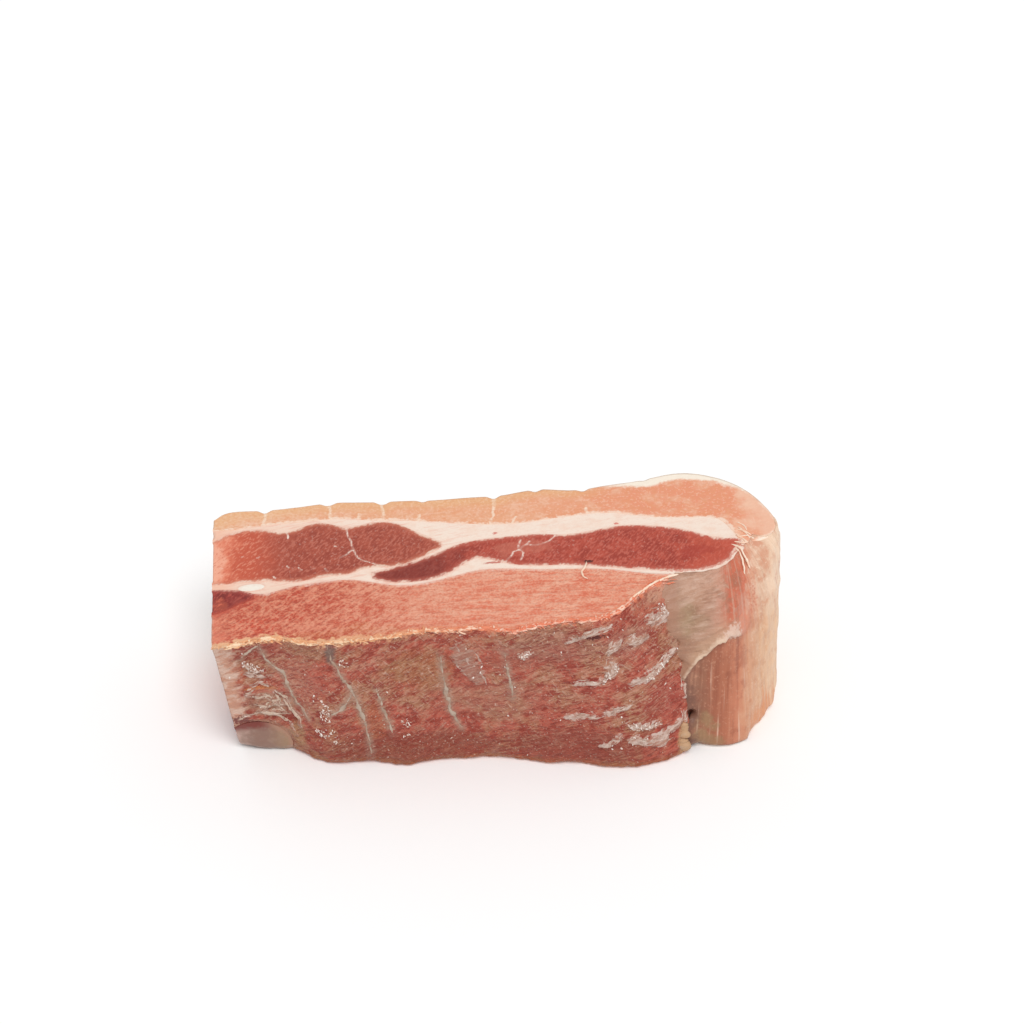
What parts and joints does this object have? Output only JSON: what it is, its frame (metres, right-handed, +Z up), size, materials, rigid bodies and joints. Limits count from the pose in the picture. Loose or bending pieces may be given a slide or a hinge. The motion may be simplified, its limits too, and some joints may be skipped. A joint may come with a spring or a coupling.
{
  "type": "raw pork belly block",
  "caption": "Thick block of raw pork sawn across the belly: tan fat cap, white seam, red and pale lean layers, and a membrane-covered inner wall.",
  "frame": {"origin": "on the floor under the middle of the block's box", "axes": "+X along the strip from the straight sawn end to the round end, +Y from the inner wall out to the fat cap, +Z up from one saw cut to the other"},
  "size_m": [0.172, 0.0725, 0.0579],
  "materials": {
    "fat_tan": "raw outer fat, moist and waxy",
    "fat_white": "raw white fat and connective tissue, moist",
    "lean_red": "raw red lean, fine-grained and moist",
    "lean_pale": "raw pale lean with a membrane on its outer wall",
    "lean_dark": "raw dark lean, moist",
    "cartilage": "smooth white cartilage",
    "bone_grey": "smooth grey rib knuckle under a thin skin"
  },
  "bodies": {
    "root": {"fat_cap": "fat_tan", "white_seam": "fat_white", "thick_lean": "lean_red", "strip_lean": "lean_red", "wall_lean": "lean_pale", "corner_lean": "lean_dark", "rib_tip": "cartilage", "rib_knuckle": "bone_grey"}
  },
  "joints": []
}
